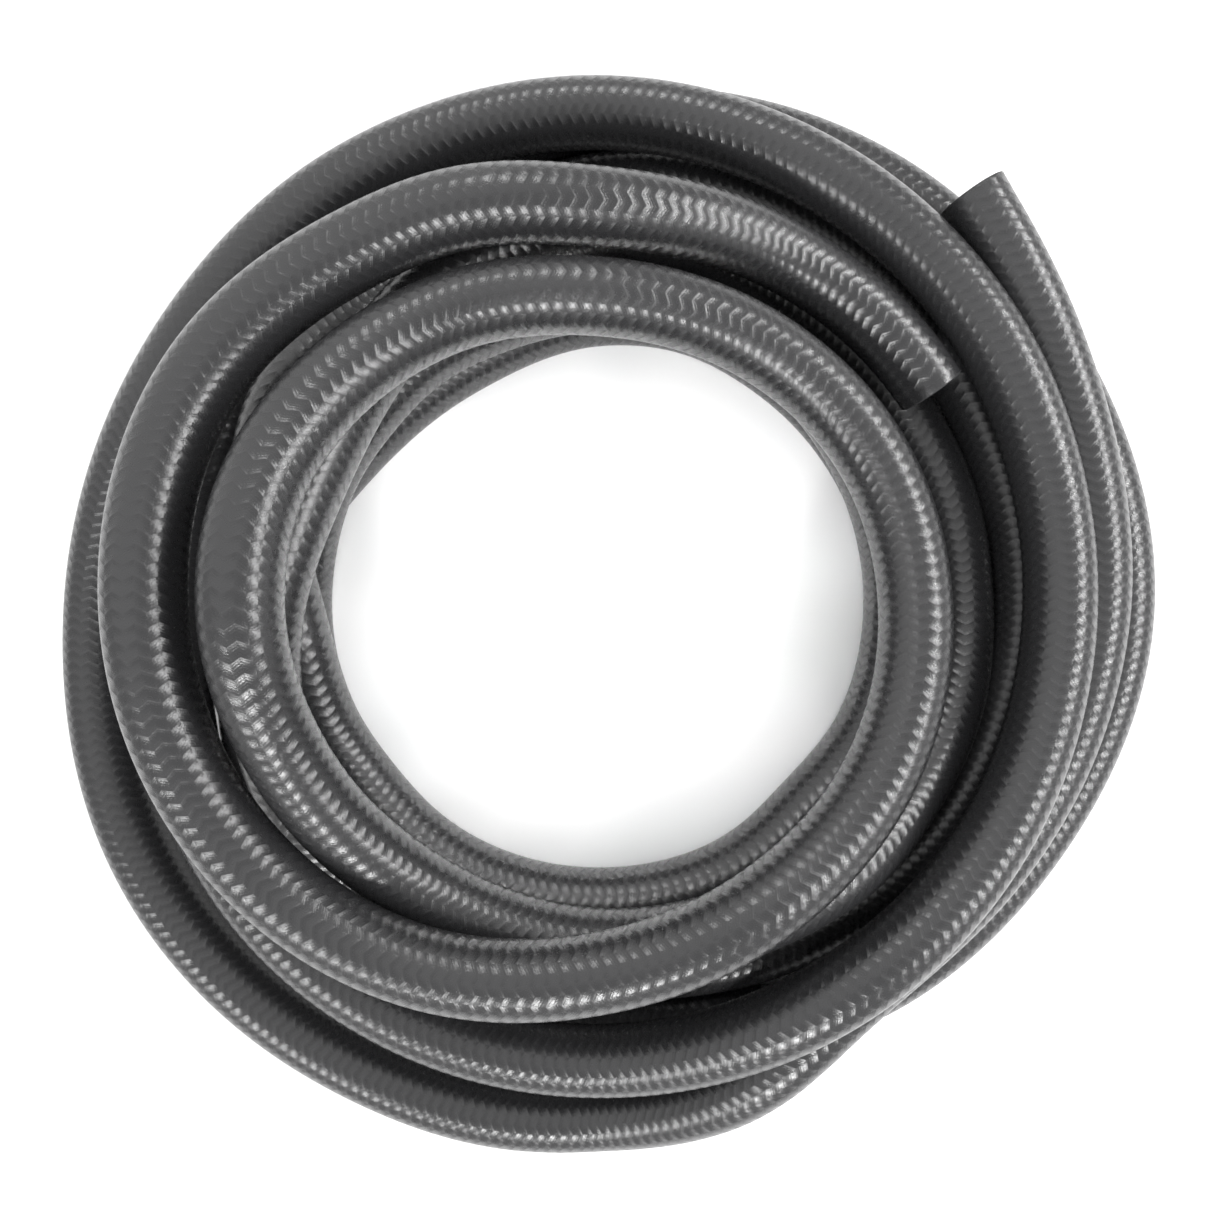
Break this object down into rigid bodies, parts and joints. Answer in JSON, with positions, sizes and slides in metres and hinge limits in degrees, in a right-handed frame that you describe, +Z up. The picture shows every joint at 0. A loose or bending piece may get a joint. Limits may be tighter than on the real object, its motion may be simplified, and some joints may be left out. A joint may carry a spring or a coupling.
{
  "type": "fuel hose",
  "caption": "Flexible rubber fuel hose wound in a loose flat coil, with bare square-cut ends that push onto barbed fittings.",
  "frame": {"origin": "middle of the base of the coil's bounding box, on the floor that it lies on", "axes": "+Z up along the coil's axis, +Y the way the hose's outer end points, +X to the right of it"},
  "size_m": [0.306, 0.2746, 0.0813],
  "materials": {
    "hose_rubber": "satin black rubber with a fine woven imprint"
  },
  "bodies": {
    "root": {"hose": "hose_rubber"}
  },
  "joints": []
}
